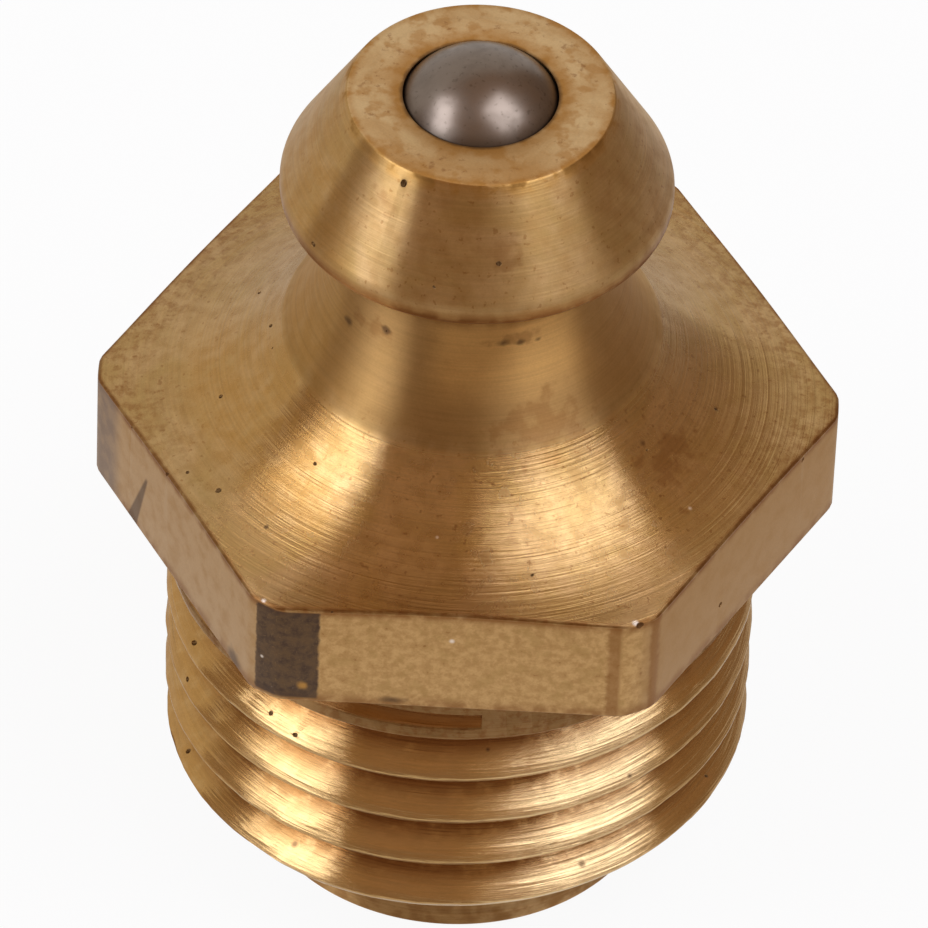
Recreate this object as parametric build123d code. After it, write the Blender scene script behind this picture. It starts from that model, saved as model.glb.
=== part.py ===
from build123d import *

from math import cos, radians, sqrt, tan
import os

# Cone-head grease nipple, straight, with an M10 x 1 shank and an 11 mm hexagon.
#
# The body is turned in one piece from brass hexagon bar. A steel ball closes the small orifice
# in the top face from inside, and a coil spring holds it up against its conical seat. The spring
# stands on a lip that is staked inwards at the lower end of the bore. The thread is cut in a
# later step, so the shank is plain here, at the diameter over the thread's crests.
#
# All sizes are in millimetres. The axis is Z. The underside of the hexagon, which seats on the
# machine, is Z = 0, and two of the hexagon's flats face -Y and +Y.

# Hexagon, as the bar comes: drawn flats with corners rolled round
ACROSS_FLATS = 11.0
CORNER_DIA = 12.4
HEX_HEIGHT = 2.1
EDGE_BREAK = 0.08

# Shank under the hexagon, over the crests of the thread
SHANK_DIA = 10.0
SHANK_LENGTH = 5.6
SHANK_CHAMFER = 0.30

# Short plain nose under the shank, whose end face is staked
NOSE_DIA = 7.0
NOSE_LENGTH = 1.7
NOSE_CHAMFER = 0.10

# Head that the jaws of the grease coupler grip
HEAD_DIA = 6.5
HEAD_LAND = 0.30
HEAD_BREAK = 0.06
CONE_ANGLE = 60.0
RIM_WIDTH = 0.92
BACK_TAPER = 58.0
NECK_LENGTH = 0.10
NECK_WALL = 0.70
NECK_ROUND = 0.20

# Ball, its guide and its seat
BALL_DIA = 3.0
GUIDE_GAP = 0.15
SEAT_ANGLE = 60.0
SEAT_MARGIN = 0.02
SEAT_GAP = 0.01
ORIFICE_LIP = 0.05

# Spring. Its round wire is drawn with six sides, which keeps the coils light to mesh
WIRE_DIA = 0.30
WIRE_SIDES = 6
WIRE_GAP = 0.03
SPRING_SIDE_GAP = 0.25
SPRING_END_GAP = 0.01
ACTIVE_COILS = 7

# Staked lip at the lower mouth of the bore
LIP_REACH = 0.45
LIP_LAND = 0.25
LIP_ANGLE = 90.0
STAKE_WIDTH = 0.55
STAKE_DEPTH = 0.35
STAKE_WALL = 0.50

# A fillet takes no more than this share of the straight beside it, and cutters run past by this
FILLET_SHARE = 0.9
OVERRUN = 1.0

# Levels and radii that follow
HEAD_R = HEAD_DIA / 2
SHANK_R = SHANK_DIA / 2
NOSE_R = NOSE_DIA / 2
CORNER_R = CORNER_DIA / 2
BALL_R = BALL_DIA / 2
WIRE_R = WIRE_DIA / 2

BORE_R = BALL_R + GUIDE_GAP
SEAT_HALF = radians(SEAT_ANGLE / 2)
ORIFICE_R = BALL_R * cos(SEAT_HALF) - SEAT_MARGIN
TOP_R = ORIFICE_R + RIM_WIDTH
NECK_R = BORE_R + NECK_WALL

COVE_R = CORNER_R - NECK_R
COVE_TOP_Z = HEX_HEIGHT + COVE_R
NECK_TOP_Z = COVE_TOP_Z + NECK_LENGTH
LAND_LOW_Z = NECK_TOP_Z + (HEAD_R - NECK_R) / tan(radians(BACK_TAPER))
LAND_TOP_Z = LAND_LOW_Z + HEAD_LAND
TOP_Z = LAND_TOP_Z + (HEAD_R - TOP_R) / tan(radians(CONE_ANGLE / 2))
END_Z = -(SHANK_LENGTH + NOSE_LENGTH)

# The ball rests where a sphere touches the seat's cone, less the gap of the two surfaces
ORIFICE_LOW_Z = TOP_Z - ORIFICE_LIP
BALL_Z = ORIFICE_LOW_Z - ((BALL_R + SEAT_GAP) / cos(SEAT_HALF) - ORIFICE_R) / tan(SEAT_HALF)

# The spring's mean radius, and where its two end coils bear
COIL_R = BORE_R - SPRING_SIDE_GAP - WIRE_R
MOUTH_R = BORE_R - LIP_REACH
LIP_HALF = radians(LIP_ANGLE / 2)
LIP_EDGE_Z = END_Z + LIP_LAND
COIL_LOW_Z = LIP_EDGE_Z + ((WIRE_R + SPRING_END_GAP) / cos(LIP_HALF) + COIL_R - MOUTH_R) / tan(LIP_HALF)
COIL_TOP_Z = BALL_Z - sqrt((BALL_R + WIRE_R + SPRING_END_GAP) ** 2 - COIL_R**2)


def turned_head():
    """Hexagon blank, cove, neck and cone-shaped head, as one revolved half section."""
    with BuildPart() as part:
        with BuildSketch(Plane.XZ) as section:
            with BuildLine():
                CenterArc((CORNER_R, COVE_TOP_Z), COVE_R, 180, 90)
                Polyline((NECK_R, COVE_TOP_Z), (NECK_R, NECK_TOP_Z), (HEAD_R, LAND_LOW_Z))
                Polyline((HEAD_R, LAND_LOW_Z), (HEAD_R, LAND_TOP_Z), (TOP_R, TOP_Z), (0, TOP_Z))
                Polyline((0, TOP_Z), (0, 0), (CORNER_R, 0), (CORNER_R, HEX_HEIGHT))
            make_face()
            neck_corner = section.vertices().sort_by_distance((NECK_R, NECK_TOP_Z))[0]
            neck_limit = FILLET_SHARE * NECK_LENGTH / tan(radians(BACK_TAPER / 2))
            fillet(neck_corner, min(NECK_ROUND, neck_limit))
            for level in (LAND_LOW_Z, LAND_TOP_Z):
                edge_corner = section.vertices().sort_by_distance((HEAD_R, level))[0]
                chamfer(edge_corner, HEAD_BREAK)
        revolve(axis=Axis.Z)
    return part.part


def hexagon_bar():
    """The bar's outline, long enough to hold the head, with the edge under it broken."""
    bar = extrude(RegularPolygon(ACROSS_FLATS / 2, 6, major_radius=False), TOP_Z)
    return chamfer(bar.faces().sort_by(Axis.Z)[0].edges(), EDGE_BREAK)


def shank_and_nose():
    """Shank, its end chamfer and the smaller nose, revolved."""
    shoulder = -SHANK_LENGTH
    outline = Polyline(
        (0, 0),
        (SHANK_R, 0),
        (SHANK_R, shoulder + SHANK_CHAMFER),
        (SHANK_R - SHANK_CHAMFER, shoulder),
        (NOSE_R, shoulder),
        (NOSE_R, END_Z + NOSE_CHAMFER),
        (NOSE_R - NOSE_CHAMFER, END_Z),
        (0, END_Z),
        close=True,
    )
    return revolve(Plane.XZ * make_face(outline), Axis.Z)


def grease_way():
    """Orifice, ball seat, bore and the narrowed mouth under the spring, as one cutter."""
    seat_low = ORIFICE_LOW_Z - (BORE_R - ORIFICE_R) / tan(SEAT_HALF)
    lip_top = LIP_EDGE_Z + LIP_REACH / tan(LIP_HALF)
    outline = Polyline(
        (0, TOP_Z + OVERRUN),
        (ORIFICE_R, TOP_Z + OVERRUN),
        (ORIFICE_R, ORIFICE_LOW_Z),
        (BORE_R, seat_low),
        (BORE_R, lip_top),
        (MOUTH_R, LIP_EDGE_Z),
        (MOUTH_R, END_Z - OVERRUN),
        (0, END_Z - OVERRUN),
        close=True,
    )
    return revolve(Plane.XZ * make_face(outline), Axis.Z)


def stake_mark():
    """The ring that the staking punch presses into the end face to close the lip."""
    inner = MOUTH_R + STAKE_WALL
    outline = Polyline(
        (inner, END_Z),
        (inner + STAKE_WIDTH / 2, END_Z + STAKE_DEPTH),
        (inner + STAKE_WIDTH, END_Z),
        close=True,
    )
    return revolve(Plane.XZ * make_face(outline), Axis.Z)


def make_body():
    """The one turned brass piece."""
    head = turned_head() & hexagon_bar()
    return head + shank_and_nose() - grease_way() - stake_mark()


def make_ball():
    """The ball, pressed up against its seat."""
    return Pos(0, 0, BALL_Z) * Sphere(BALL_R)


def make_spring():
    """A compression spring, wound right-hand, with its first and last coil wound close."""
    closed_pitch = WIRE_DIA + WIRE_GAP
    open_height = COIL_TOP_Z - COIL_LOW_Z - 2 * closed_pitch
    low_coil = Helix(closed_pitch, closed_pitch, COIL_R)
    open_coils = Pos(0, 0, closed_pitch) * Helix(open_height / ACTIVE_COILS, open_height, COIL_R)
    top_coil = Pos(0, 0, closed_pitch + open_height) * low_coil
    path = Wire([low_coil, open_coils, top_coil])
    wire = Plane(path @ 0, z_dir=path % 0) * RegularPolygon(WIRE_R, WIRE_SIDES)
    return Pos(0, 0, COIL_LOW_Z) * sweep(wire, path, is_frenet=True)


os.makedirs("parts", exist_ok=True)
export_step(make_body(), "parts/body.step")
export_step(make_ball(), "parts/check_ball.step")
export_step(make_spring(), "parts/spring.step")
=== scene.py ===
# %% [markdown]
# # A cone-head grease nipple
#
# This small brass part screws into a machine, so that grease can be pressed in through its head.
# It has three pieces: the brass body, a steel ball that closes the orifice from inside, and the
# spring that holds the ball up. The CAD model already has their sizes and places. This lesson
# makes what the CAD model leaves out: the thread, the rounded edges, the pits and nicks of use,
# the marks of the lathe and the finishes.

# %% Load the frame
import math
import random

import bmesh
import bpy
from mathutils.bvhtree import BVHTree
from mathutils import Matrix, Vector


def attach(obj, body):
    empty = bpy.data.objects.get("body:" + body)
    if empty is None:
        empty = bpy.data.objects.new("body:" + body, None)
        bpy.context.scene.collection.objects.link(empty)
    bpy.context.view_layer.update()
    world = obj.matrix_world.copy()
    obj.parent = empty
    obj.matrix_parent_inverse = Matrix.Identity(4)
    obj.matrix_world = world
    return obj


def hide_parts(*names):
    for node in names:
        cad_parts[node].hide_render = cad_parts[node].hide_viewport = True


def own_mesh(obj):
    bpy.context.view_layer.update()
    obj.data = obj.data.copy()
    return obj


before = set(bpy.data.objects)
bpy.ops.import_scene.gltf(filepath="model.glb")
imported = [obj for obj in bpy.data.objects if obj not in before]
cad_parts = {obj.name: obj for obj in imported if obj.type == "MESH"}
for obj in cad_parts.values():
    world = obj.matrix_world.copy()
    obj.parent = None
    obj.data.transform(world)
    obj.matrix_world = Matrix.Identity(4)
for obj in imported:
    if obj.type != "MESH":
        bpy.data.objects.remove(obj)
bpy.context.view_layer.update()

# %% [markdown]
# ## Camera, light and floor
#
# The nipple stands on its nose. The camera looks down on it from the front through a long lens,
# which keeps the hexagon nearly free of perspective. A camera could be aimed with a constraint,
# but its turn is worked out here from the two viewing angles and a small roll, which is exact and
# leaves nothing live behind.

# %% Camera
MM = 0.001
VIEW_AZIMUTH = math.radians(0.80)
VIEW_ELEVATION = math.radians(44.15)
VIEW_ROLL = math.radians(2.42)
VIEW_DISTANCE = 198.0
IMAGE_WIDTH = 928
PIXELS_PER_MM = 59.37
AIM = Vector((0.0, 0.0, -0.03))
AIM_OFF_CENTRE = (-0.6, 14.3)
SENSOR_WIDTH = 36.0
NEAREST_SEEN = 0.01
FARTHEST_SEEN = 3.0


def direction(azimuth, elevation):
    """The way out from the origin, turned this far from the front and raised this far."""
    return Vector((
        math.sin(azimuth) * math.cos(elevation),
        -math.cos(azimuth) * math.cos(elevation),
        math.sin(elevation),
    ))


def facing(place, x_axis, y_axis, z_axis):
    """The matrix of an object at a place, in millimetres, whose own axes point these three ways."""
    matrix = Matrix((x_axis, y_axis, z_axis)).transposed().to_4x4()
    matrix.translation = place * MM
    return matrix


back = direction(VIEW_AZIMUTH, VIEW_ELEVATION)
level_right = Vector((math.cos(VIEW_AZIMUTH), math.sin(VIEW_AZIMUTH), 0.0))
level_up = back.cross(level_right)
right = math.cos(VIEW_ROLL) * level_right + math.sin(VIEW_ROLL) * level_up
up = math.cos(VIEW_ROLL) * level_up - math.sin(VIEW_ROLL) * level_right
camera_data = bpy.data.cameras.new("camera")
camera = bpy.data.objects.new("camera", camera_data)
bpy.context.scene.collection.objects.link(camera)
camera_data.sensor_width = SENSOR_WIDTH
camera_data.lens = SENSOR_WIDTH * PIXELS_PER_MM * VIEW_DISTANCE / IMAGE_WIDTH
camera_data.clip_start = NEAREST_SEEN
camera_data.clip_end = FARTHEST_SEEN
middle = AIM + (AIM_OFF_CENTRE[0] * right + AIM_OFF_CENTRE[1] * up) / PIXELS_PER_MM
camera.matrix_world = facing(middle + back * VIEW_DISTANCE, right, up, back)
bpy.context.scene.camera = camera
bpy.context.scene.view_settings.view_transform = "Standard"
print("lens in mm:", round(camera_data.lens, 1))

# %% [markdown]
# Two soft boxes light it, a nearly square one high on the right and a longer, rolled one on the
# left. Turned metal shows little but its surroundings, so their directions decide where the bright
# streaks run down the cone and the cove. Small lamps would leave only hair lines there.

# %% Soft boxes
LAMP_COLOR = (0.88, 1.0, 1.2)
SOFT_BOX_DISTANCE = 330.0
SOFT_BOXES = {
    "soft_box_right": {
        "azimuth": 61.5, "elevation": 57, "roll": 0, "size": (213, 235), "brightness": 3.15},
    "soft_box_left": {
        "azimuth": -68.5, "elevation": 39, "roll": -47, "size": (273, 146), "brightness": 3.85},
}
for name, box in SOFT_BOXES.items():
    toward_box = direction(math.radians(box["azimuth"]), math.radians(box["elevation"]))
    width, height = (side * MM for side in box["size"])
    lamp_data = bpy.data.lights.new(name, "AREA")
    lamp_data.shape = "RECTANGLE"
    lamp_data.size = width
    lamp_data.size_y = height
    lamp_data.energy = box["brightness"] * math.pi * width * height
    lamp_data.color = LAMP_COLOR
    lamp = bpy.data.objects.new(name, lamp_data)
    bpy.context.scene.collection.objects.link(lamp)
    level = Vector((0, 0, 1)).cross(toward_box).normalized()
    roll = math.radians(box["roll"])
    across = math.cos(roll) * level + math.sin(roll) * toward_box.cross(level)
    lamp.matrix_world = facing(
        toward_box * SOFT_BOX_DISTANCE, across, toward_box.cross(across), toward_box)
    print(name, "has", round(lamp_data.energy, 2), "W")

# %% [markdown]
# The room round it is dim and warm, which keeps the metal between the streaks dark. It grows
# brighter from the horizon to the ceiling, so that faces that look up are lighter than faces that
# look sideways. One even colour would be simpler, but it makes the cone and the cove look flat.

# %% Node helpers
def add_node(tree, kind, inputs=None, **settings):
    """Adds a shader node and returns its first output, with inputs set or linked by their names."""
    node = tree.nodes.new("ShaderNode" + kind)
    for name, value in settings.items():
        setattr(node, name, value)
    for key, value in (inputs or {}).items():
        if isinstance(value, bpy.types.NodeSocket):
            tree.links.new(value, node.inputs[key])
        else:
            node.inputs[key].default_value = value
    return node.outputs[0]


def calculate(tree, operation, *values):
    """The result of one Math node."""
    return add_node(tree, "Math", dict(enumerate(values)), operation=operation)


def axes_of(tree, vector):
    """The X, Y and Z of a vector."""
    node = tree.nodes.new("ShaderNodeSeparateXYZ")
    tree.links.new(vector, node.inputs[0])
    return node.outputs["X"], node.outputs["Y"], node.outputs["Z"]


def paint(tree, share, under, over):
    """Lays one colour over another where the share is 1."""
    node = tree.nodes.new("ShaderNodeMix")
    node.data_type = "RGBA"
    for socket, value in ((node.inputs[0], share), (node.inputs[6], under), (node.inputs[7], over)):
        if isinstance(value, bpy.types.NodeSocket):
            tree.links.new(value, socket)
        else:
            socket.default_value = value if isinstance(value, float) else (*value, 1.0)
    return node.outputs[2]


# %% Room
ROOM_COLOR = (0.345, 0.245, 0.175)
HORIZON_SHARE = 0.8
CEILING_SHARE = 1.5

world = bpy.data.worlds.new("room")
world.use_nodes = True
bpy.context.scene.world = world
tree = world.node_tree
_, _, way_up = axes_of(tree, add_node(tree, "TexCoord"))
overhead = add_node(
    tree, "MapRange", {"Value": way_up, "To Min": HORIZON_SHARE, "To Max": CEILING_SHARE})
walls = add_node(tree, "VectorMath", {0: ROOM_COLOR, "Scale": overhead}, operation="SCALE")
tree.links.new(walls, tree.nodes["Background"].inputs["Color"])
print("room at the ceiling:", [round(CEILING_SHARE * value, 3) for value in ROOM_COLOR])

# %% [markdown]
# The floor is one pale sheet under the nose, which rises in a curve far behind the nipple. A second
# plane could close the back, but its edge would show in the metal. The sheet lies a hair under the
# end face, because two faces in one plane would fight for the same pixels.

# %% Floor
END_Z = -7.3
FLOOR_GAP = 0.02
FLOOR_SIZE = 4000.0
SWEEP_AT = 600.0
SWEEP_HEIGHT = 1000.0
SWEEP_BEND = 250.0
SWEEP_STEPS = 16
SWEEP_WIDTH = 1780.0
SWEEP_TURN = math.radians(26)


def select_only(*objects):
    """Deselects everything, then selects these objects and makes the first one active."""
    bpy.ops.object.select_all(action="DESELECT")
    for obj in objects:
        obj.select_set(True)
    bpy.context.view_layer.objects.active = objects[0]


def pick(kind, test):
    """In edit mode, selects the vertices, edges or faces that pass a test on the bmesh item."""
    bpy.ops.mesh.select_mode(type=kind)
    bpy.ops.mesh.select_all(action="DESELECT")
    mesh = bmesh.from_edit_mesh(bpy.context.object.data)
    items = {"VERT": mesh.verts, "EDGE": mesh.edges, "FACE": mesh.faces}[kind]
    chosen = [item for item in items if test(item)]
    for item in chosen:
        item.select_set(True)
    mesh.select_flush_mode()
    bmesh.update_edit_mesh(bpy.context.object.data)
    return len(chosen)


bpy.ops.object.select_all(action="DESELECT")
bpy.ops.mesh.primitive_plane_add(size=FLOOR_SIZE * MM, location=(0, 0, (END_Z - FLOOR_GAP) * MM))
floor = bpy.context.object
floor.name = "floor"
bpy.ops.object.mode_set(mode="EDIT")
pick("EDGE", lambda e: min(v.co.y for v in e.verts) > 0)
bpy.ops.transform.translate(value=(0, (SWEEP_AT - FLOOR_SIZE / 2) * MM, 0))
bpy.ops.mesh.extrude_region_move(TRANSFORM_OT_translate={"value": (0, 0, SWEEP_HEIGHT * MM)})
pick("EDGE", lambda e: len(e.link_faces) == 2)
bpy.ops.mesh.bevel(offset=SWEEP_BEND * MM, segments=SWEEP_STEPS, affect="EDGES")
bpy.ops.object.mode_set(mode="OBJECT")
floor.scale = (SWEEP_WIDTH / FLOOR_SIZE, 1, 1)
floor.rotation_euler = (0, 0, SWEEP_TURN)
bpy.ops.object.transform_apply(rotation=True, scale=True)
bpy.ops.object.shade_smooth()
print("floor faces:", len(floor.data.polygons))

# %% [markdown]
# The sheet stays a real surface that takes the shadow, and only what the camera and the reflections
# see of it is lifted towards white. In the metal it shows white near the nipple and where it rises.
# Elsewhere the metal shows the brown table that the sheet lies on, because a sheet that is white
# all round would wash out the dark tones of the thread.

# %% Floor paint
FLOOR_SHADE = (0.80, 0.80, 0.80)
FLOOR_ROUGHNESS = 0.9
FLOOR_SPECULAR = 0.1
FLOOR_LIFT = 0.93
SHEET_REACH = 60.0
SHEET_IN_METAL = (0.84, 0.84, 0.84)
TABLE_COLOR = (0.27, 0.19, 0.135)
WHITE = (1.0, 1.0, 1.0)

floor_paint = bpy.data.materials.new("floor_paint")
floor_paint.use_nodes = True
tree = floor_paint.node_tree
shader = tree.nodes["Principled BSDF"]
shader.inputs["Base Color"].default_value = (*FLOOR_SHADE, 1.0)
shader.inputs["Roughness"].default_value = FLOOR_ROUGHNESS
shader.inputs["Specular IOR Level"].default_value = FLOOR_SPECULAR
light_path = tree.nodes.new("ShaderNodeLightPath").outputs
spread = tree.nodes.new("ShaderNodeTexCoord").outputs["Object"]
turned_back = add_node(
    tree, "VectorRotate", {"Vector": spread, "Angle": -SWEEP_TURN}, rotation_type="Z_AXIS")
far_x, far_y, _ = axes_of(tree, turned_back)
far = calculate(tree, "SQRT", calculate(
    tree, "ADD", calculate(tree, "MULTIPLY", far_x, far_x),
    calculate(tree, "MULTIPLY", far_y, far_y)))
beyond = calculate(tree, "SUBTRACT", far, SHEET_REACH * MM)
beside = calculate(tree, "SUBTRACT", calculate(
    tree, "MULTIPLY", calculate(tree, "ABSOLUTE", far_x), 2 * SWEEP_AT / SWEEP_WIDTH), far_y)
on_table = calculate(tree, "MULTIPLY", calculate(tree, "GREATER_THAN", beyond, 0.0),
                     calculate(tree, "GREATER_THAN", beside, 0.0))
in_metal = paint(tree, on_table, SHEET_IN_METAL, TABLE_COLOR)
glow = add_node(
    tree, "Emission", {"Color": paint(tree, light_path["Is Camera Ray"], in_metal, WHITE)})
seen = calculate(tree, "MAXIMUM", calculate(
    tree, "MAXIMUM", light_path["Is Camera Ray"], light_path["Is Glossy Ray"]),
    light_path["Is Transmission Ray"])
lift = calculate(tree, "MULTIPLY", seen, FLOOR_LIFT)
lifted = add_node(tree, "MixShader", {"Fac": lift, 1: shader.outputs[0], 2: glow})
tree.links.new(lifted, tree.nodes["Material Output"].inputs["Surface"])
floor.data.materials.append(floor_paint)
print("floor paint nodes:", len(tree.nodes))

# %% [markdown]
# ## The body's turned outline
#
# The body is turned from hexagon bar. A revolved curve could give its shape, but a spun outline
# is closer to the lathe, so half of its section is drawn point by point, with the bore included.
# It is drawn in millimetres and made small at the end, because in metres the edge tools of Blender
# lose their footing on edges of a hundredth of a millimetre.

# %% Drawing tools
ACROSS_FLATS = 11.0
CORNER_R = 6.2
HEX_HEIGHT = 2.1
SHANK_R = 5.0
SHANK_END_Z = -5.6
SHANK_CHAMFER = 0.30
NOSE_R = 3.5
HEAD_R = 3.25
TOP_R = 2.199
TOP_Z = 8.7327
LAND_LOW_Z = 6.6124
LAND_TOP_Z = 6.9124
NECK_R = 2.35
NECK_TOP_Z = 6.05
COVE_R = CORNER_R - NECK_R
COVE_TOP_Z = HEX_HEIGHT + COVE_R
ORIFICE_R = 1.279
ORIFICE_LOW_Z = 8.6827
SEAT_LOW_Z = 8.0402
BORE_R = 1.65
MOUTH_R = 1.2
LIP_EDGE_Z = -7.05
LIP_TOP_Z = -6.6
STAKE_INNER_R = 1.7
STAKE_WIDTH = 0.55
STAKE_DEPTH = 0.35
MERGE = 1e-4


def start_outline(name, x, z):
    """Begins a drawing in the XZ plane with one vertex, and leaves it selected in edit mode."""
    bpy.ops.object.select_all(action="DESELECT")
    bpy.ops.mesh.primitive_plane_add(size=1.0, location=(0, 0, 0))
    obj = bpy.context.object
    obj.name = name
    obj.data.name = name
    bpy.ops.object.mode_set(mode="EDIT")
    bpy.ops.mesh.select_mode(type="VERT")
    bpy.ops.mesh.select_all(action="SELECT")
    bpy.ops.mesh.merge(type="CENTER")
    bpy.ops.transform.translate(value=(x, 0, z))
    return obj


def last_point():
    """Where the selected vertex is."""
    mesh = bmesh.from_edit_mesh(bpy.context.object.data)
    return next(v.co.copy() for v in mesh.verts if v.select)


def line_to(*points):
    """Draws on from the selected vertex to each of these points in turn."""
    for x, z in points:
        here = last_point()
        bpy.ops.mesh.extrude_region_move(
            TRANSFORM_OT_translate={"value": (x - here.x, 0, z - here.z)})


def arc_to(centre, degrees, steps):
    """Draws on from the selected vertex along an arc about a centre in the drawing's plane."""
    bpy.ops.mesh.spin(
        steps=steps, angle=math.radians(degrees), center=(centre[0], 0, centre[1]), axis=(0, 1, 0))


# %% Draw the outline
COVE_STEPS = 24

body = start_outline("nipple_body", MOUTH_R, END_Z)
line_to((MOUTH_R, LIP_EDGE_Z), (BORE_R, LIP_TOP_Z), (BORE_R, SEAT_LOW_Z))
line_to((ORIFICE_R, ORIFICE_LOW_Z), (ORIFICE_R, TOP_Z), (TOP_R, TOP_Z))
line_to((HEAD_R, LAND_TOP_Z), (HEAD_R, LAND_LOW_Z), (NECK_R, NECK_TOP_Z), (NECK_R, COVE_TOP_Z))
arc_to((CORNER_R, COVE_TOP_Z), 90, COVE_STEPS)
line_to((CORNER_R, 0), (SHANK_R, 0), (SHANK_R, SHANK_END_Z + SHANK_CHAMFER))
line_to((SHANK_R - SHANK_CHAMFER, SHANK_END_Z), (NOSE_R, SHANK_END_Z), (NOSE_R, END_Z))
line_to((STAKE_INNER_R + STAKE_WIDTH, END_Z))
line_to((STAKE_INNER_R + STAKE_WIDTH / 2, END_Z + STAKE_DEPTH), (STAKE_INNER_R, END_Z))


def near(x, z):
    """The test for a vertex of the outline at this place."""
    return lambda v: abs(v.co.x - x) < MERGE and abs(v.co.z - z) < MERGE


pick("VERT", lambda v: near(MOUTH_R, END_Z)(v) or near(STAKE_INNER_R, END_Z)(v))
bpy.ops.mesh.edge_face_add()
print("outline points:", len(bmesh.from_edit_mesh(body.data).verts))

# %% [markdown]
# No edge of a turned part is quite sharp. The tool leaves each with its own small round, and
# handling adds to it. The edges of the finished body could be bevelled, but by then the thread
# would be in the way, so the corners of the outline are rounded one kind after another while there
# are only a few points to choose from.

# %% Round the outline's corners
RIM_ROUND = 0.05
CORNER_ROUNDS = (
    # width, steps, and the corners of this kind
    (0.015, 2, ((ORIFICE_R, TOP_Z), (ORIFICE_R, ORIFICE_LOW_Z), (BORE_R, SEAT_LOW_Z))),
    (0.05, 3, ((TOP_R, TOP_Z), (SHANK_R, SHANK_END_Z + SHANK_CHAMFER),
               (SHANK_R - SHANK_CHAMFER, SHANK_END_Z), (NOSE_R, SHANK_END_Z))),
    (0.10, 4, ((HEAD_R, LAND_TOP_Z), (HEAD_R, LAND_LOW_Z))),
    (0.08, 3, ((NECK_R, NECK_TOP_Z),)),
    (0.10, 4, ((NOSE_R, END_Z),)),
    (RIM_ROUND, 3, ((CORNER_R, HEX_HEIGHT), (CORNER_R, 0))),
)
for width, steps, corners in CORNER_ROUNDS:
    tests = [near(*corner) for corner in corners]
    found = pick("VERT", lambda v: any(test(v) for test in tests))
    bpy.ops.mesh.bevel(offset=width, segments=steps, affect="VERTICES")
    print("rounded", found, "corners by", width, "mm")

# %% [markdown]
# The whole outline is spun once round the axis, as the bar turns in the lathe. A screw modifier
# would do the same, but the spin gives points that can be moved at once. The number of steps is a
# multiple of six, so that every flat of the hexagon meets the mesh in the same way, and large
# enough for the metal's soft streaks to run without a facet.

# %% Spin the outline
SPIN_STEPS = 360
bpy.ops.mesh.select_all(action="SELECT")
bpy.ops.mesh.spin(steps=SPIN_STEPS, angle=math.tau, center=(0, 0, 0), axis=(0, 0, 1))
bpy.ops.mesh.select_all(action="SELECT")
bpy.ops.mesh.remove_doubles(threshold=MERGE)
bpy.ops.mesh.normals_make_consistent(inside=False)
print("turned faces:", len(bmesh.from_edit_mesh(body.data).faces))

# %% [markdown]
# The flats of the bar cut the wide end of the cove, and that cut gives the hexagon its six shallow
# arches. A boolean with a six-sided prism would show the same shape, but it slices the fine mesh
# between its points and leaves slivers along the rim, exactly where the bright line of the edge
# shows every fault. So the turned collar is pushed onto the hexagon instead, as clay onto a form.
# Each point keeps its angle and slides in to the outline of the bar, and the ones on the cove slide
# down along its arc, so the small round of the rim stays even all the way.

# %% Push the collar onto the hexagon
COLLAR_FROM = 5.2
CORNER_BLEND = 0.05
FLAT_TO_FLAT = math.radians(60)


def hexagon_radius(angle):
    """How far the bar reaches at this angle: flats, and rolled corners that run over into them."""
    from_flat = (angle - FLAT_TO_FLAT / 2) % FLAT_TO_FLAT
    from_flat = min(from_flat, FLAT_TO_FLAT - from_flat)
    flat = ACROSS_FLATS / 2 / math.cos(from_flat)
    share = min(max(0.5 + 0.5 * (CORNER_R - flat) / CORNER_BLEND, 0.0), 1.0)
    return CORNER_R + (flat - CORNER_R) * share - CORNER_BLEND * share * (1 - share)


def cove_height(radius):
    """The level of the cove's surface at this distance from the axis."""
    return COVE_TOP_Z - math.sqrt(COVE_R ** 2 - (CORNER_R - radius) ** 2)


def push_to_hexagon(co):
    """The new place of one point of the turned collar."""
    radius, angle = co.xy.length, math.atan2(co.y, co.x)
    reach = hexagon_radius(angle)
    rim_from = CORNER_R - RIM_ROUND
    if radius > rim_from - MERGE:
        new_radius = reach - (CORNER_R - radius)
    else:
        new_radius = COLLAR_FROM + (radius - COLLAR_FROM) * (
            (reach - RIM_ROUND - COLLAR_FROM) / (rim_from - COLLAR_FROM))
    height = co.z
    if height > HEX_HEIGHT / 2:
        height += cove_height(new_radius) - cove_height(radius)
        if radius > rim_from - MERGE:
            height = co.z + cove_height(reach - RIM_ROUND) - cove_height(rim_from)
    return Vector((new_radius * math.cos(angle), new_radius * math.sin(angle), height))


bpy.ops.object.mode_set(mode="OBJECT")
moved = 0
for v in body.data.vertices:
    if v.co.xy.length > COLLAR_FROM and -MERGE < v.co.z < cove_height(COLLAR_FROM) + MERGE:
        v.co = push_to_hexagon(v.co)
        moved += 1
body.data.update()
print("points pushed onto the hexagon:", moved)

# %% [markdown]
# ## The thread
#
# The thread is M10 x 1, cut right-hand by a tool that runs round the shank and sinks by one
# millimetre a turn. It could be a displaced texture, but a thread is a shape that has to be there
# in the mesh. So what the tool takes away is modelled as one long bar: its section is extruded,
# turned and lowered again and again. It starts small and grows to its full size over the first
# turn, because the tool was drawn out there, and so the thread ends in a shallow scratch with a
# square end, under the front of the hexagon.

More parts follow.
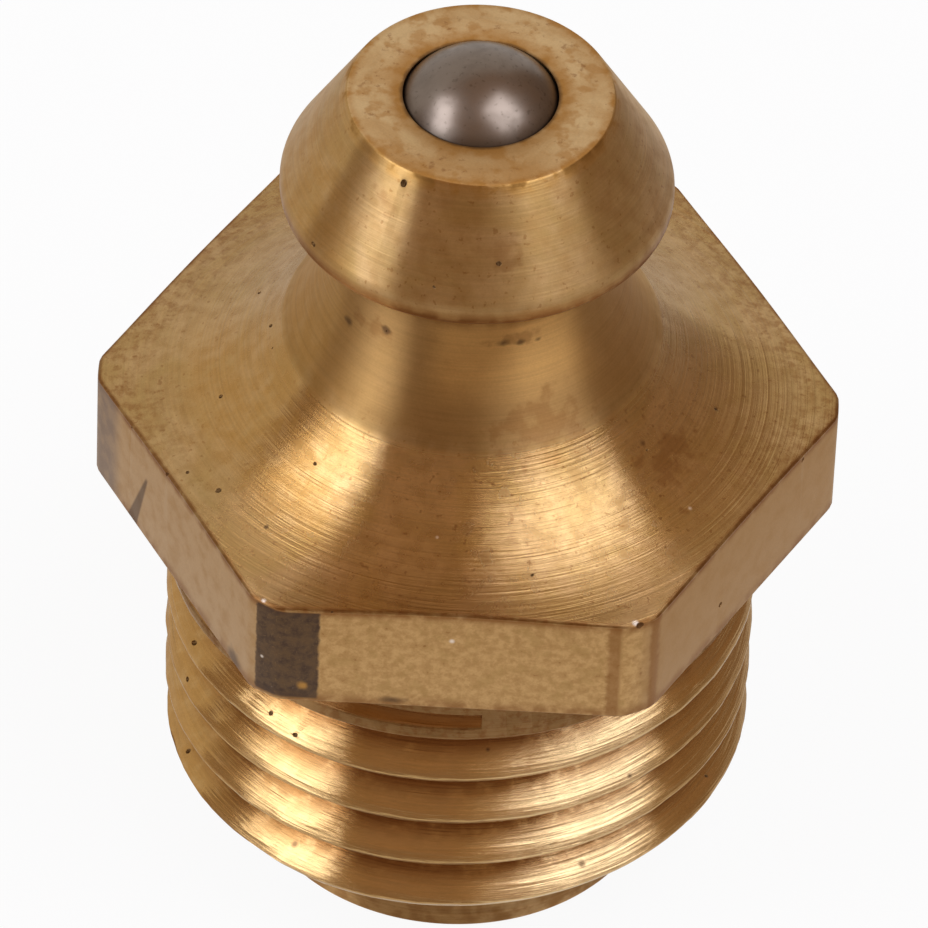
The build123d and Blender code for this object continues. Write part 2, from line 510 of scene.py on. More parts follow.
# %% Model the groove
PITCH = 1.0
GROOVE_TURNS = 5.5
GROOVE_STEPS = 144
GROOVE_START_ANGLE = math.radians(-84.0)
GROOVE_START_Z = -0.82
FIRST_TURN_DROP = 0.86
FIRST_DEPTH_SHARE = 0.36
THREAD_MINOR_R = 4.39
ROOT_HALF_WIDTH = 0.03
GROOVE_SECTION = (
    # from the root to the crest: radius, half of the width there
    (THREAD_MINOR_R + 0.030, 0.075),
    (4.900, 0.366),
    (4.936, 0.392),
    (4.964, 0.422),
    (4.985, 0.455),
    (5.003, 0.485),
    (5.060, 0.492),
)


def model_groove():
    """The long bar that the threading tool takes away, as a closed mesh."""
    first_x, first_z = GROOVE_SECTION[0]
    groove = start_outline("thread_groove", first_x, first_z)
    line_to(*GROOVE_SECTION[1:])
    line_to(*((x, -z) for x, z in reversed(GROOVE_SECTION)))
    line_to((THREAD_MINOR_R, -ROOT_HALF_WIDTH), (THREAD_MINOR_R, ROOT_HALF_WIDTH))
    bpy.ops.mesh.select_all(action="SELECT")
    bpy.ops.mesh.edge_face_add()
    bpy.ops.transform.translate(value=(0, 0, GROOVE_START_Z))
    place = Vector((SHANK_R, 0, GROOVE_START_Z))
    bpy.ops.transform.resize(value=(FIRST_DEPTH_SHARE,) * 3, center_override=place)
    depth_share = FIRST_DEPTH_SHARE
    for step in range(1, round(GROOVE_TURNS * GROOVE_STEPS) + 1):
        first_turn = step <= GROOVE_STEPS
        drop = (FIRST_TURN_DROP if first_turn else PITCH) / GROOVE_STEPS
        bpy.ops.mesh.extrude_region_move(TRANSFORM_OT_translate={"value": (0, 0, -drop)})
        bpy.ops.transform.rotate(
            value=math.tau / GROOVE_STEPS, orient_axis="Z", center_override=(0, 0, 0))
        angle = -math.tau * step / GROOVE_STEPS
        place = Vector((SHANK_R * math.cos(angle), SHANK_R * math.sin(angle), place.z - drop))
        if first_turn:
            new_share = FIRST_DEPTH_SHARE + (1 - FIRST_DEPTH_SHARE) * step / GROOVE_STEPS
            bpy.ops.transform.resize(value=(new_share / depth_share,) * 3, center_override=place)
            depth_share = new_share
    bpy.ops.object.mode_set(mode="OBJECT")
    groove.rotation_euler = (0, 0, GROOVE_START_ANGLE)
    bpy.ops.object.transform_apply(rotation=True)
    return groove


groove = model_groove()
low = min(v.co.z for v in groove.data.vertices)
print("groove points:", len(groove.data.vertices), "lowest at", round(low, 2), "mm")

# %% [markdown]
# The bar is then taken out of the shank. Screwing the thread as a mesh of its own would leave its
# run-out to be patched by hand, but a boolean finds the edge where the groove meets the shank by
# itself. It is the exact kind, because the groove crosses the shank at a very flat angle.

# %% Cut the thread
def cut_away(target, tool):
    """Takes a closed tool out of the target for good, and deletes the tool."""
    select_only(target)
    cut = target.modifiers.new("cut", "BOOLEAN")
    cut.operation = "DIFFERENCE"
    cut.solver = "EXACT"
    cut.object = tool
    bpy.ops.object.modifier_apply(modifier=cut.name)
    bpy.data.meshes.remove(tool.data)


groove_faces = len(groove.data.polygons)
select_only(groove)
bpy.ops.object.mode_set(mode="EDIT")
bpy.ops.mesh.select_all(action="SELECT")
bpy.ops.mesh.normals_make_consistent(inside=False)
bpy.ops.object.mode_set(mode="OBJECT")
cut_away(body, groove)
print("groove faces:", groove_faces, "- body faces with the thread cut:", len(body.data.polygons))

# %% [markdown]
# ## Wear
#
# The crests of the thread are no longer even: they have rubbed against the crests of the hole and
# against other fittings. A cloudy displacement on the crests alone takes up to a few hundredths of
# a millimetre off them. Pushing points by hand would do too, but not as evenly all the way round.

# %% Rub the crests
CREST_R = 4.92
CREST_TOP_Z = -0.05
CREST_WEAR = 0.035
CREST_PATCH = 0.5

crests = body.vertex_groups.new(name="crests")
on_crest = [v.index for v in body.data.vertices
            if v.co.xy.length > CREST_R and v.co.z < CREST_TOP_Z]
crests.add(on_crest, 1.0, "REPLACE")
clouds = bpy.data.textures.new("crest_wear", "CLOUDS")
clouds.noise_scale = CREST_PATCH
select_only(body)
wear = body.modifiers.new("crest_wear", "DISPLACE")
wear.texture = clouds
wear.texture_coords = "LOCAL"
wear.vertex_group = crests.name
wear.mid_level = 1.0
wear.strength = CREST_WEAR
bpy.ops.object.modifier_apply(modifier=wear.name)
print("crest points:", len(on_crest))

# %% [markdown]
# The dents are knocks and pinholes of real depth. A bump in the finish would vanish at the outline
# and in the exported mesh, so they are cut out: one small squashed ball a dent, set at the place
# where a straight line towards the axis meets the metal, and all joined into one tool.

# %% Cut the dents
DENT_LIFT = 0.65
DENT_SEGMENTS = 12
DENT_RINGS = 8
DENT_STRETCH = (0.7, 1.5)
DENT_SEED = 7
DENTS = (
    # on the thread: angle round the axis, height, size
    (-25, -4.82, 0.055), (-69, -4.03, 0.04), (-155, -2.23, 0.06),
    (-157, -3.25, 0.065), (-159, -5.19, 0.06), (157, -4.0, 0.065),
    (-129, -2.11, 0.055), (-122, -2.16, 0.05), (130, -3.9, 0.045), (70, -3.4, 0.06),
    (110, -2.1, 0.05), (20, -4.3, 0.055),
    # on the cove and the neck
    (-143.5, 2.29, 0.065), (-151, 2.23, 0.05), (163, 3.00, 0.05), (-178, 3.39, 0.05),
    (-169, 3.38, 0.045), (-11, 2.65, 0.06), (-130, 2.95, 0.035), (-165, 2.64, 0.035),
    (-36, 2.99, 0.035), (-124, 5.20, 0.05), (-75, 2.36, 0.035), (75, 2.6, 0.05),
    # on the rim and the flats of the hexagon
    (-166, 2.10, 0.06), (-153, 2.15, 0.05), (-38, 0.69, 0.045), (-12.5, 2.02, 0.045),
    (-60.5, 2.07, 0.06), (-110, 2.10, 0.04), (45, 1.2, 0.05), (100, 0.8, 0.045),
    # on the head
    (-120, 8.52, 0.06), (-81, 7.60, 0.04), (-144, 6.95, 0.05), (-101, 7.20, 0.03),
    (60, 7.4, 0.045),
)

unsteady = random.Random(DENT_SEED)
surface = BVHTree.FromObject(body, bpy.context.evaluated_depsgraph_get())
balls = []
for degrees, height, size in DENTS:
    outward = Vector((math.cos(math.radians(degrees)), math.sin(math.radians(degrees)), 0))
    start = outward * 2 * CORNER_R + Vector((0, 0, height))
    hit, normal, _, _ = surface.ray_cast(start, -outward)
    bpy.ops.object.select_all(action="DESELECT")
    bpy.ops.mesh.primitive_uv_sphere_add(
        segments=DENT_SEGMENTS, ring_count=DENT_RINGS, radius=size,
        location=hit + normal * size * DENT_LIFT,
        rotation=[unsteady.uniform(0, math.tau) for _ in range(3)],
        scale=[unsteady.uniform(*DENT_STRETCH) for _ in range(3)])
    balls.append(bpy.context.object)
select_only(*balls)
bpy.ops.object.join()
dent_tool = bpy.context.object
dent_tool.name = "dent_tool"
bpy.ops.object.transform_apply(location=True, rotation=True, scale=True)
cut_away(body, dent_tool)
print("dents:", len(DENTS), "- body faces with the dents cut:", len(body.data.polygons))

# %% [markdown]
# Later the body is shaded smooth wherever its faces meet at a flat angle, and a shallow dent would
# then pull the shading of the whole turned face around it. A face that lies under the old surface
# is inside a dent, so the edges between such faces and the others are the rims, and are kept sharp.

# %% Keep the dents' rims sharp
DENT_FACE_DEPTH = 0.003
sides = {}
for face in body.data.polygons:
    in_a_dent = surface.find_nearest(face.center)[3] > DENT_FACE_DEPTH
    for key in face.edge_keys:
        sides.setdefault(key, set()).add(in_a_dent)
rims = [edge for edge in body.data.edges if len(sides[edge.key]) == 2]
for edge in rims:
    edge.use_edge_sharp = True
print("edges on the dents' rims:", len(rims))

# %% [markdown]
# Dirt stays in the dents. It could be painted by place, as the stains are, but the points under the
# old surface are known here. They are kept as an attribute of the mesh, which the finish reads.

# %% Note the dirt
DIRT_DEPTH = 0.002
dirt = body.data.attributes.new("dirt", "FLOAT", "POINT")
for v in body.data.vertices:
    depth = surface.find_nearest(v.co)[3]
    dirt.data[v.index].value = 1.0 if depth > DIRT_DEPTH else 0.0
print("dirty points:", sum(1 for item in dirt.data if item.value > 0))

# %% [markdown]
# ## The ball
#
# A ball bearing ball closes the orifice. A UV sphere would pinch the mesh at its two poles, and one
# pole would sit in the middle of the orifice, so a cube is divided and rounded instead.

# %% Model the ball
BALL_R = 1.5
BALL_Z = 7.8781
BALL_CUTS = 23

bpy.ops.object.select_all(action="DESELECT")
bpy.ops.mesh.primitive_cube_add(size=2 * BALL_R, location=(0, 0, 0))
ball = bpy.context.object
ball.name = ball.data.name = "steel_ball"
bpy.ops.object.mode_set(mode="EDIT")
bpy.ops.mesh.select_all(action="SELECT")
bpy.ops.mesh.subdivide(number_cuts=BALL_CUTS)
bpy.ops.object.mode_set(mode="OBJECT")
rounding = ball.modifiers.new("rounding", "CAST")
rounding.cast_type = "SPHERE"
rounding.factor = 1.0
rounding.use_radius_as_size = False
rounding.size = BALL_R
bpy.ops.object.modifier_apply(modifier=rounding.name)
radii = [v.co.length for v in ball.data.vertices]
print("ball radius from", round(min(radii), 4), "to", round(max(radii), 4), "mm")
ball.location = (0, 0, BALL_Z)
bpy.ops.object.transform_apply(location=True)

# %% [markdown]
# ## The spring
#
# The spring hides in the bore and shows only through the lower mouth. It is wound from round wire
# with its end coils lying close. A curve with a bevel could follow the helix too, but the wire is
# extruded round the axis like the thread's groove, so both come from the same few moves. Its two
# end coils have the small pitch and the coils between them share what is left of the height.

# %% Model the spring
WIRE_R = 0.15
WIRE_SIDES = 12
COIL_R = 1.25
COIL_LOW_Z = -6.7737
COIL_TOP_Z = 6.7858
CLOSED_PITCH = 0.33
ACTIVE_COILS = 7
COIL_STEPS = 40

bpy.ops.object.select_all(action="DESELECT")
bpy.ops.mesh.primitive_circle_add(
    vertices=WIRE_SIDES, radius=WIRE_R, fill_type="NGON",
    location=(COIL_R, 0, COIL_LOW_Z), rotation=(math.pi / 2, 0, 0))
spring = bpy.context.object
spring.name = spring.data.name = "coil_spring"
bpy.ops.object.transform_apply(location=True, rotation=True)
bpy.ops.object.mode_set(mode="EDIT")
bpy.ops.mesh.select_all(action="SELECT")
open_pitch = (COIL_TOP_Z - COIL_LOW_Z - 2 * CLOSED_PITCH) / ACTIVE_COILS
coils = ACTIVE_COILS + 2
for step in range(coils * COIL_STEPS):
    turn = (step + 0.5) / COIL_STEPS
    pitch = CLOSED_PITCH if turn < 1 or turn > coils - 1 else open_pitch
    bpy.ops.mesh.extrude_region_move(
        TRANSFORM_OT_translate={"value": (0, 0, pitch / COIL_STEPS)})
    bpy.ops.transform.rotate(
        value=-math.tau / COIL_STEPS, orient_axis="Z", center_override=(0, 0, 0))
bpy.ops.mesh.select_all(action="SELECT")
bpy.ops.mesh.normals_make_consistent(inside=False)
bpy.ops.object.mode_set(mode="OBJECT")
print("spring from", round(min(v.co.z for v in spring.data.vertices), 3), "to",
      round(max(v.co.z for v in spring.data.vertices), 3), "mm")

# %% [markdown]
# ## Small at last
#
# The three meshes are brought from millimetres to metres, about the origin they share with the
# CAD model. Scaling the objects alone would look the same, but the finishes read the places in the
# mesh. Each piece is shaded smooth up to its real edges and then tied to the body of the CAD model
# that it moves with, and the spring gets a mesh of its own.

# %% Scale, smooth and tie
SMOOTH_ANGLE = math.radians(32)


def finish_mesh(obj):
    """Scales a mesh drawn in millimetres to metres and shades it smooth up to its real edges."""
    select_only(obj)
    obj.scale = (MM,) * 3
    bpy.ops.object.transform_apply(location=True, rotation=True, scale=True)
    bpy.ops.object.shade_smooth_by_angle(angle=SMOOTH_ANGLE)
    weighted = obj.modifiers.new("weighted_normals", "WEIGHTED_NORMAL")
    weighted.keep_sharp = True
    bpy.ops.object.modifier_apply(modifier=weighted.name)


for piece, node, moves_with, slot in (
    (body, "body", "nipple", "brass"),
    (ball, "check_ball", "ball", "ball_steel"),
    (spring, "spring", "nipple", "spring_steel"),
):
    finish_mesh(piece)
    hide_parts(node)
    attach(piece, moves_with)
    print(piece.name, "has", len(piece.data.polygons), "faces and moves with", moves_with)
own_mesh(spring)

# %% [markdown]
# ## Finishes
#
# Each finish is a small tree of shader nodes that reads the place on the piece in millimetres, so
# nothing has to be unwrapped and a mark sits where it sits on the real thing. An image could be
# baked from scans, but it would carry the light of the day it was taken in. Nearly everything is
# built from shares: numbers from 0 to 1 that say how much of a film or a mark lies at a place.

# %% Finish helpers
def rise(tree, value, low, high, out_low=0.0, out_high=1.0):
    """Runs smoothly from one result to the other while the value goes from low to high."""
    return add_node(
        tree, "MapRange",
        {"Value": value, "From Min": low, "From Max": high, "To Min": out_low, "To Max": out_high},
        interpolation_type="SMOOTHSTEP")


def vector_of(tree, x, y, z):
    """The vector with these three parts."""
    return add_node(tree, "CombineXYZ", {"X": x, "Y": y, "Z": z})


def scaled(tree, vector, scale):
    """The vector, or the colour, times a number."""
    return add_node(tree, "VectorMath", {0: vector, "Scale": scale}, operation="SCALE")


def noise(tree, vector, scale, detail=3.0, rough=0.5, distortion=0.0):
    """Soft noise about 0.5, with so many patches to the millimetre."""
    return add_node(
        tree, "TexNoise",
        {"Vector": vector, "Scale": scale, "Detail": detail, "Roughness": rough,
         "Distortion": distortion})


def start_finish(name, **constants):
    """A new material: its tree, its shader with some constants set, and the place in mm."""
    material = bpy.data.materials.new(name)
    material.use_nodes = True
    tree = material.node_tree
    shader = tree.nodes["Principled BSDF"]
    for key, value in constants.items():
        shader.inputs[key.replace("_", " ")].default_value = value
    coordinates = tree.nodes.new("ShaderNodeTexCoord")
    place = add_node(
        tree, "Mapping", {"Vector": coordinates.outputs["Object"], "Scale": (1 / MM,) * 3})
    return material, tree, shader, place


# %% [markdown]
# ## The brass
#
# A turned piece is covered with fine rings. They spread a highlight across themselves and keep it
# sharp along themselves, which is what the anisotropic setting does once its tangent runs round
# the axis. The rings could all be modelled, but they are a few thousandths of a millimetre deep.

# %% Start the brass
QUARTER_TURN = 0.25

brass, tree, shader, place = start_finish(
    "aged_brass", Metallic=1.0, Anisotropic_Rotation=QUARTER_TURN)
x, y, z = axes_of(tree, place)
radius = calculate(tree, "SQRT", calculate(
    tree, "ADD", calculate(tree, "MULTIPLY", x, x), calculate(tree, "MULTIPLY", y, y)))
around = vector_of(tree, calculate(tree, "MULTIPLY", y, -1.0), x, 0.0)
tree.links.new(
    add_node(tree, "VectorMath", {0: around}, operation="NORMALIZE"), shader.inputs["Tangent"])
print("brass nodes so far:", len(tree.nodes))

# %% [markdown]
# Faces that were made in different ways look different, so the finish has to know which face it is
# on. Each face could be given a material of its own, but then the films of age would stop at its
# edges. So one material works out shares for the faces from the place: how far a point is from the
# axis, how high it is, and how far it lies under the edge where the cove runs out.

# %% Find the faces
NECK_FROM = (3.45, 3.95)
ROOT_R = (4.86, 4.42)
LAND_Z = (-1.45, -1.3)
LAND_R = (4.94, 4.97)


def both(*shares):
    """The share where all of these hold."""
    result = shares[0]
    for share in shares[1:]:
        result = calculate(tree, "MULTIPLY", result, share)
    return result


def any_of(shares):
    """The share where at least one of these holds."""
    result = shares[0]
    for share in shares[1:]:
        result = calculate(tree, "MAXIMUM", result, share)
    return result


def all_but(share):
    """The share where this one doesn't hold."""
    return calculate(tree, "SUBTRACT", 1.0, share)


from_corner = calculate(tree, "SUBTRACT", CORNER_R, radius)
cove_drop = calculate(tree, "SQRT", calculate(
    tree, "SUBTRACT", COVE_R ** 2, calculate(tree, "MULTIPLY", from_corner, from_corner)))
under_rim = calculate(
    tree, "SUBTRACT", calculate(tree, "SUBTRACT", COVE_TOP_Z, cove_drop), z)
on_side = both(rise(tree, under_rim, 0.02, 0.05),
               rise(tree, radius, COLLAR_FROM, COLLAR_FROM + 0.1), rise(tree, z, 0.0, 0.02))
on_top = rise(tree, z, TOP_Z - 0.02, TOP_Z - 0.005)
in_neck = both(rise(tree, z, *NECK_FROM), rise(tree, z, LAND_TOP_Z, LAND_TOP_Z - 0.15))
on_shank = rise(tree, z, 0.0, -0.03)
at_root = both(on_shank, rise(tree, radius, *ROOT_R), rise(tree, z, SHANK_END_Z, -5.3))
on_nose = rise(tree, z, SHANK_END_Z + 0.05, SHANK_END_Z)
turned = all_but(calculate(tree, "MAXIMUM", on_side, on_top))
print("brass nodes with the faces:", len(tree.nodes))

# %% [markdown]
# Old brass is never one colour. It has gone olive in broad blotches, brown in small patches and
# rusty in specks, so noise of three sizes lays films over the clean metal. Light and shade are
# painted over the films as well: paler brass on the right of the thread is a painted highlight,
# paler brass on the front of the neck is a painted reflection, and darker brown on the middle and
# far right of the thread, in two bands under the head and on the nose is painted shade. The film is
# laid thickest round the rest of the neck and down the left side. One even film would be simpler,
# but it is the unevenness that the eye reads as old.

# %% Films of age
CLEAN_BRASS = (0.54, 0.335, 0.145)
OLIVE_FILM = (0.46, 0.28, 0.10)
# This brown serves both as a real film and as painted shade on the thread and the nose.
FILM_AND_SHADE_BROWN = (0.41, 0.225, 0.078)
NECK_FILM = (0.45, 0.25, 0.085)
# This pale brass is a painted reflection on the neck.
PAINTED_REFLECTION_BRASS = (0.74, 0.42, 0.14)
THREAD_GOLD = (0.60, 0.385, 0.165)
# This pale brass is a painted highlight on the thread.
PAINTED_HIGHLIGHT_BRASS = (0.86, 0.62, 0.33)
OCHRE = (0.46, 0.235, 0.06)
# This rust brown serves both as real rust and as painted shade under the head, on the nose and
# under the hexagon.
RUST_AND_SHADE_BROWN = (0.27, 0.11, 0.03)

blotches = noise(tree, place, 0.8, 5.0, 0.6, 0.7)
mottle = noise(tree, place, 3.5, 3.0, 0.5)
specks = noise(tree, place, 10.0, 2.0, 0.5)
grains = noise(tree, place, 26.0, 2.0, 0.5)
color = paint(tree, rise(tree, blotches, 0.34, 0.66), CLEAN_BRASS, OLIVE_FILM)
color = paint(tree, rise(tree, mottle, 0.35, 0.80, 0.0, 0.7), color, FILM_AND_SHADE_BROWN)
color = paint(tree, both(rise(tree, specks, 0.64, 0.72), 0.5), color, RUST_AND_SHADE_BROWN)
color = paint(tree, both(on_shank, 0.85), color, THREAD_GOLD)
# Paler brass on the right of the thread: a painted highlight where the right soft box shows.
thread_highlight_paint = both(on_shank, rise(tree, x, 0.4, 1.3), rise(tree, x, 3.6, 3.0), 0.6)
color = paint(tree, thread_highlight_paint, color, PAINTED_HIGHLIGHT_BRASS)
# Darker brown on the middle and far right of the thread: painted shade between and beside its
# highlights.
thread_shade_paint = both(on_shank, any_of([
    both(rise(tree, x, -2.2, -1.7), rise(tree, x, 0.7, 0.1), 0.35),
    rise(tree, x, 3.4, 4.0, 0.0, 0.5)]))
color = paint(tree, thread_shade_paint, color, FILM_AND_SHADE_BROWN)
color = paint(tree, both(in_neck, 0.85), color, NECK_FILM)
tarnished = both(
    rise(tree, x, -1.6, -2.6), rise(tree, y, 1.5, -0.5), rise(tree, radius, 5.3, 4.2),
    rise(tree, mottle, 0.2, 0.7, 0.35, 0.75))
color = paint(tree, tarnished, color, OCHRE)
# A paler patch on the front of the neck: a painted reflection of the floor in front of it.
neck_reflection_paint = both(rise(tree, z, 4.0, 4.9), rise(tree, z, 5.95, 5.6), rise(tree, y, -1.4, -2.0),
             rise(tree, x, -0.9, -0.2), 0.8)
color = paint(tree, neck_reflection_paint, color, PAINTED_REFLECTION_BRASS)
# A rust-brown band at the top of the neck: painted shade under the head.
neck_top_shade = both(rise(tree, z, 5.55, 5.95), rise(tree, z, 6.45, 6.15),
              rise(tree, mottle, 0.3, 0.6, 0.3, 0.8))
color = paint(tree, neck_top_shade, color, RUST_AND_SHADE_BROWN)
# A rust-brown band on the underside of the head: painted shade under its edge.
head_underside_shade = both(rise(tree, z, LAND_LOW_Z + 0.34, LAND_LOW_Z + 0.05), rise(tree, z, 6.0, 6.2),
                 rise(tree, mottle, 0.25, 0.6, 0.45, 0.95))
color = paint(tree, head_underside_shade, color, RUST_AND_SHADE_BROWN)
# The nose is painted dark brown as shade near the floor, with rusty specks in it.
color = paint(tree, both(on_nose, rise(tree, mottle, 0.3, 0.7, 0.6, 1.0)), color, FILM_AND_SHADE_BROWN)
color = paint(tree, both(on_nose, rise(tree, mottle, 0.4, 0.6, 0.15, 0.4)), color, RUST_AND_SHADE_BROWN)
shank_left = both(
    on_shank, rise(tree, x, -3.2, -4.4), rise(tree, mottle, 0.2, 0.6, 0.4, 0.8))
color = paint(tree, shank_left, color, OCHRE)
print("brass nodes with the films:", len(tree.nodes))

# %% [markdown]
# The flats of the hexagon were never turned. They have the skin of the drawn bar: paler and duller
# than the turned metal, mottled on the front and back flats, smoother on the side ones, and brown
# where grease and dust have dried along their edges. The plain land right under the hexagon is
# painted dark brown as shade under the hexagon. Painting all this with the same films as the rest
# would make the nipple look cast.

# %% Skin of the bar
DRAWN_SKIN = (0.60, 0.37, 0.155)
SMOOTH_SKIN = (0.50, 0.315, 0.155)
# This brown is painted shade on the land under the hexagon.
LAND_SHADE_BROWN = (0.36, 0.20, 0.075)

skin = noise(tree, place, 6.0, 5.0, 0.65)
facing_front = rise(tree, calculate(tree, "ABSOLUTE", y), 5.25, 5.4)
side_color = paint(tree, rise(tree, skin, 0.38, 0.62, 0.0, 0.65), DRAWN_SKIN, FILM_AND_SHADE_BROWN)
side_color = paint(tree, both(rise(tree, mottle, 0.52, 0.68), 0.5), side_color, OLIVE_FILM)
side_color = paint(tree, both(rise(tree, skin, 0.62, 0.70), 0.6), side_color, RUST_AND_SHADE_BROWN)
smooth_color = paint(tree, rise(tree, mottle, 0.40, 0.75, 0.0, 0.5), SMOOTH_SKIN, FILM_AND_SHADE_BROWN)
side_color = paint(tree, facing_front, smooth_color, side_color)
right_flat = both(rise(tree, x, 3.0, 3.4), rise(tree, y, 0.5, -0.5), 0.75)
side_color = paint(tree, right_flat, side_color, FILM_AND_SHADE_BROWN)
upper_edge = both(rise(tree, under_rim, 0.20, 0.04), rise(tree, mottle, 0.3, 0.55, 0.2, 0.75))
side_color = paint(tree, upper_edge, side_color, RUST_AND_SHADE_BROWN)
lower_edge = both(rise(tree, z, 0.30, 0.05), rise(tree, mottle, 0.35, 0.6, 0.2, 0.7))
side_color = paint(tree, lower_edge, side_color, RUST_AND_SHADE_BROWN)
color = paint(tree, on_side, color, side_color)
# The land under the hexagon is painted dark brown as shade under it.
land = both(on_shank, rise(tree, z, *LAND_Z), rise(tree, radius, *LAND_R))
color = paint(tree, land, color, LAND_SHADE_BROWN)
color = paint(tree, both(land, rise(tree, skin, 0.45, 0.6, 0.0, 0.6)), color, RUST_AND_SHADE_BROWN)
print("brass nodes with the skin:", len(tree.nodes))

# %% [markdown]
# Edges and hollows tell the most about age. The ring round the orifice was faced flat and is the
# palest place, with a brown halo where grease creeps out of the mouth. The rims of the head and of
# the hexagon are outlined in brown, and so are the roots of the thread. These follow the shape, so
# they are drawn from distances to the edges, and only broken up by noise.

# %% Rims, mouth and roots
FACED_TAN = (0.67, 0.485, 0.25)
DIRT_BROWN = (0.11, 0.055, 0.025)
HALF_ROOT_3 = math.sqrt(3) / 2

across = any_of([
    calculate(tree, "ABSOLUTE", y),
    calculate(tree, "ABSOLUTE", calculate(
        tree, "MULTIPLY_ADD", x, HALF_ROOT_3, calculate(tree, "MULTIPLY", y, 0.5))),
    calculate(tree, "ABSOLUTE", calculate(
        tree, "MULTIPLY_ADD", x, HALF_ROOT_3, calculate(tree, "MULTIPLY", y, -0.5)))])
near_edge = any_of([rise(tree, across, 5.40, 5.47), rise(tree, radius, 6.10, 6.16)])
on_rim = both(near_edge, rise(tree, under_rim, 0.09, 0.02), rise(tree, z, 1.9, 2.0))
color = paint(tree, both(on_rim, rise(tree, mottle, 0.35, 0.6, 0.3, 0.85)), color, RUST_AND_SHADE_BROWN)
top_color = paint(tree, rise(tree, blotches, 0.40, 0.62, 0.0, 0.45), FACED_TAN, OCHRE)
top_color = paint(tree, rise(tree, y, -1.0, -1.9, 0.0, 0.5), top_color, OCHRE)
top_color = paint(tree, both(rise(tree, mottle, 0.50, 0.66), 0.55), top_color, OCHRE)
top_color = paint(tree, both(rise(tree, skin, 0.58, 0.70), 0.5), top_color, RUST_AND_SHADE_BROWN)
color = paint(tree, on_top, color, top_color)
halo = both(on_top, rise(tree, radius, ORIFICE_R + 0.40, ORIFICE_R + 0.04),
            rise(tree, mottle, 0.3, 0.6, 0.6, 1.0))
color = paint(tree, halo, color, OCHRE)
ragged_radius = calculate(tree, "MULTIPLY_ADD", mottle, -0.09, radius)
mouth = both(rise(tree, z, TOP_Z - 0.1, TOP_Z - 0.05),
             rise(tree, ragged_radius, ORIFICE_R + 0.03, ORIFICE_R - 0.04), 0.7)
color = paint(tree, mouth, color, DIRT_BROWN)
from_rim = calculate(tree, "ABSOLUTE", calculate(tree, "SUBTRACT", radius, TOP_R))
rim_ring = both(rise(tree, from_rim, 0.16, 0.03), rise(tree, z, TOP_Z - 0.3, TOP_Z - 0.15),
                rise(tree, mottle, 0.38, 0.62, 0.35, 0.95))
color = paint(tree, rim_ring, color, OCHRE)
color = paint(tree, both(at_root, rise(tree, mottle, 0.25, 0.55, 0.45, 0.95)), color, RUST_AND_SHADE_BROWN)
edge_band = both(rise(tree, across, 4.3, 5.3), rise(tree, z, 2.0, 2.05),
                 rise(tree, y, -3.0, -1.0), rise(tree, skin, 0.42, 0.66, 0.0, 0.6))
color = paint(tree, edge_band, color, RUST_AND_SHADE_BROWN)
# Rust brown in the shallow start of the groove: painted shade under the hexagon.
run_out_shade = both(on_shank, rise(tree, z, -1.5, -1.35), rise(tree, radius, 4.97, 4.94), 0.7)
color = paint(tree, run_out_shade, color, RUST_AND_SHADE_BROWN)
print("brass nodes with the rims:", len(tree.nodes))

# %% [markdown]
# This nipple has marks of its own. The front flat carries a black patch and two thin brown strips
# that run its whole height, and the left flat a dark slanting streak and a grey corner. The patch
# and the strips are bands across the flat with edges pushed about by noise, and the streak is a
# thin slanting wedge. A painted image would do the same with less thought, but these stay sharp
# however near the camera comes.

# %% Patch, strips and streak
PATCH_BLACK = (0.085, 0.05, 0.034)
GREY_SKIN = (0.27, 0.185, 0.13)
RAGGED = 0.11
STREAK_SLOPE = -0.38
STREAK_FOOT = 1.52
STREAK_TAPER = 0.09

ragged_x = calculate(tree, "MULTIPLY_ADD", calculate(tree, "SUBTRACT", skin, 0.5), RAGGED, x)
patch = both(on_side, rise(tree, y, -4.9, -5.0), rise(tree, ragged_x, -3.26, -3.22),
             rise(tree, ragged_x, -2.17, -2.23), rise(tree, z, 0.05, 0.12),
             rise(tree, under_rim, 0.03, 0.07), rise(tree, grains, 0.2, 0.45, 0.8, 1.0))
strip = both(on_side, rise(tree, y, -4.9, -5.0), 0.6, any_of([
    both(rise(tree, ragged_x, 2.50, 2.60), rise(tree, ragged_x, 2.80, 2.72)),
    both(rise(tree, ragged_x, 3.20, 3.28), rise(tree, ragged_x, 3.42, 3.34))]))
far_corner = both(on_side, rise(tree, x, -5.70, -5.95), rise(tree, mottle, 0.3, 0.6, 0.6, 0.9))
along = calculate(tree, "MULTIPLY_ADD", x, 0.5, calculate(tree, "MULTIPLY", y, -HALF_ROOT_3))
aside = calculate(tree, "ABSOLUTE", calculate(
    tree, "ADD", along, calculate(tree, "MULTIPLY_ADD", z, STREAK_SLOPE, STREAK_FOOT)))
tapered = calculate(tree, "MULTIPLY_ADD", z, STREAK_TAPER, aside)
streak = both(on_side, rise(tree, x, -4.5, -4.6), rise(tree, z, 1.45, 1.30),
              rise(tree, tapered, 0.19, 0.13))
color = paint(tree, both(patch, rise(tree, skin, 0.30, 0.66, 1.0, 0.82)), color, PATCH_BLACK)
color = paint(tree, far_corner, color, GREY_SKIN)
color = paint(tree, strip, color, RUST_AND_SHADE_BROWN)
print("brass nodes with the patch, strips and streak:", len(tree.nodes))

# %% [markdown]
# Spots of dirt, soft smudges and grains of dust lie all over it. Each is a row in a list: the angle
# round the axis, the distance from it and the height of the spot's centre, its radius, how tall it
# is for its width, and how ragged. A scatter of random spots would be quicker, but these are where
# they are on the real one.

